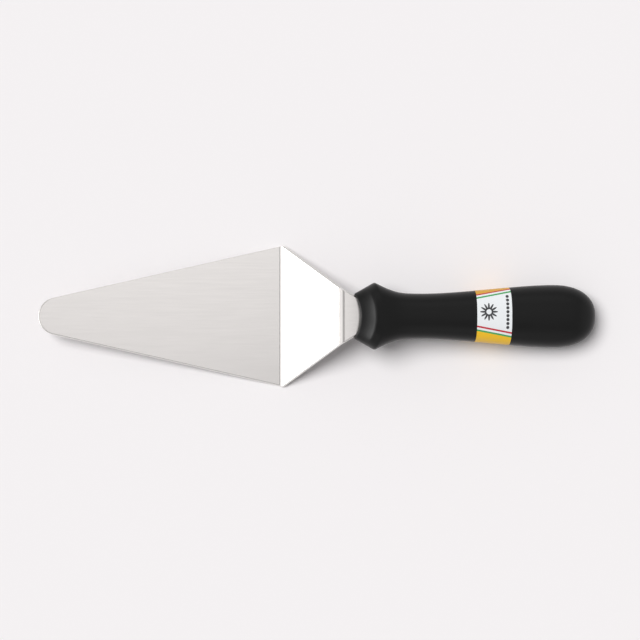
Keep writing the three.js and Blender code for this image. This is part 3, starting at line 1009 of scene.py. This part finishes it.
class SPATULA_OT_mould_handle(bpy.types.Operator):
    """Mould the handle round the blade's tang"""

    bl_idname = "spatula.mould_handle"
    bl_label = "Mould handle"

    def execute(self, context):
        blade, handle = context.scene.spatula_blade, context.scene.spatula_handle
        piece = grip_body("moulded_handle", handle)
        piece.data.transform(Matrix.Translation(lip_place(blade)))
        plastic = satin_plastic(handle)
        piece.data.materials.append(plastic)

        # The tang's pocket is the blade itself, grown by the shrinkage gap.
        tang = flat_blank("tang_pocket", blade, handle.mould_gap)
        fold_sheet(tang, blade, blade.anchor_hole - 2 * handle.mould_gap, plastic)
        pocket = piece.modifiers.new("Pocket", "BOOLEAN")
        pocket.operation = "DIFFERENCE"
        pocket.solver = "EXACT"
        pocket.object = tang
        keep_result(piece)
        bpy.data.objects.remove(tang)
        piece.data.transform(lying())
        stand_for(piece, "handle")
        return {"FINISHED"}


class SPATULA_OT_wrap_label(bpy.types.Operator):
    """Wrap the printed label round the handle"""

    bl_idname = "spatula.wrap_label"
    bl_label = "Wrap label"

    def execute(self, context):
        handle, label = context.scene.spatula_handle, context.scene.spatula_label
        outlines = grip_outlines(handle)
        middle = label.start + label.width / 2
        seam_share = label.seam / 2 / value_at(outlines[0], middle)
        half_seam = math.asin(seam_share ** (SECTION_POWER / 2))
        start = half_seam - math.pi / 2
        step = 2 * (math.pi - half_seam) / LABEL_ROUND_STEPS
        turns = [start + step * i for i in range(LABEL_ROUND_STEPS + 1)]
        place = lying() @ Matrix.Translation(lip_place(context.scene.spatula_blade))
        ring = [place @ point for point in grip_ring(handle, outlines, middle, turns)]
        around = sum((b - a).length for a, b in zip(ring, ring[1:]))
        edges = [(i, i + 1) for i in range(LABEL_ROUND_STEPS)]
        piece = new_piece("wrapped_label", ring, edges=edges)
        run_tree(
            piece,
            wrapped_label_tree(),
            surface=context.scene.objects["moulded_handle"],
            axis=place.to_3x3() @ Vector((1, 0, 0)),
            width=label.width,
            gap=label.gap,
            thickness=label.thickness,
            round_steps=LABEL_ROUND_STEPS,
            length_steps=LABEL_LENGTH_STEPS,
            paper=printed_paper(label, around),
        )
        piece.data.shade_smooth()
        stand_for(piece, "label")
        return {"FINISHED"}


class SPATULA_OT_set_stage(bpy.types.Operator):
    """Lay the floor, and set the light and the camera"""

    bl_idname = "spatula.set_stage"
    bl_label = "Set stage"

    def execute(self, context):
        scene, stage = context.scene, context.scene.spatula_stage
        side = stage.floor_size / 2
        corners = [(-side, -side, 0), (side, -side, 0), (side, side, 0), (-side, side, 0)]
        floor = new_piece("floor", corners, [(0, 1, 2, 3)])
        floor.data.materials.append(painted_board(stage))
        scene.world = studio_light(stage)
        key = distant_lamp("key", KEY_FROM, stage.key, stage.key_size)
        key.visible_glossy = False  # the steel shows the soft boxes alone

        # The fill lights the handle alone, as if flagged off the steel, which it would turn white.
        fill = distant_lamp("fill", FILL_FROM, stage.fill, stage.fill_size)
        lit = bpy.data.collections.new("lit_by_fill")
        lit.objects.link(scene.objects["moulded_handle"])
        fill.light_linking.receiver_collection = lit
        scene.view_settings.view_transform = "Standard"

        # The camera looks straight down, with the tip at the left.
        camera = bpy.data.cameras.new("camera")
        distance = stage.camera_height - stage.view_height
        camera.lens = camera.sensor_width * distance / stage.view_width
        scene.camera = bpy.data.objects.new("camera", camera)
        scene.camera.location = (stage.aim_x, stage.aim_y, stage.camera_height)
        scene.collection.objects.link(scene.camera)
        return {"FINISHED"}


class SPATULA_PT_parts(bpy.types.Panel):
    """Lists the spatula's pieces and its stage, each with its settings"""

    bl_label = "Cake spatula"
    bl_space_type = "VIEW_3D"
    bl_region_type = "UI"
    bl_category = "Spatula"

    def draw(self, context):
        for name, (group, operator) in PARTS.items():
            box = self.layout.box()
            box.operator(operator.bl_idname)
            for setting in group.__annotations__:
                box.prop(getattr(context.scene, name), setting)


PARTS = {
    "spatula_blade": (BladeSettings, SPATULA_OT_fold_blade),
    "spatula_handle": (HandleSettings, SPATULA_OT_mould_handle),
    "spatula_label": (LabelSettings, SPATULA_OT_wrap_label),
    "spatula_stage": (StageSettings, SPATULA_OT_set_stage),
}
CLASSES = (*(cls for pair in PARTS.values() for cls in pair), SPATULA_PT_parts)


def register():
    for cls in CLASSES:
        bpy.utils.register_class(cls)
    for name, (group, _) in PARTS.items():
        setattr(bpy.types.Scene, name, PointerProperty(type=group))


def unregister():
    for name in PARTS:
        delattr(bpy.types.Scene, name)
    for cls in reversed(CLASSES):
        bpy.utils.unregister_class(cls)


def main():
    """Makes the spatula on its stage."""
    register()
    bpy.ops.spatula.fold_blade()
    bpy.ops.spatula.mould_handle()
    bpy.ops.spatula.wrap_label()
    bpy.ops.spatula.set_stage()


if __name__ == "__main__":
    main()
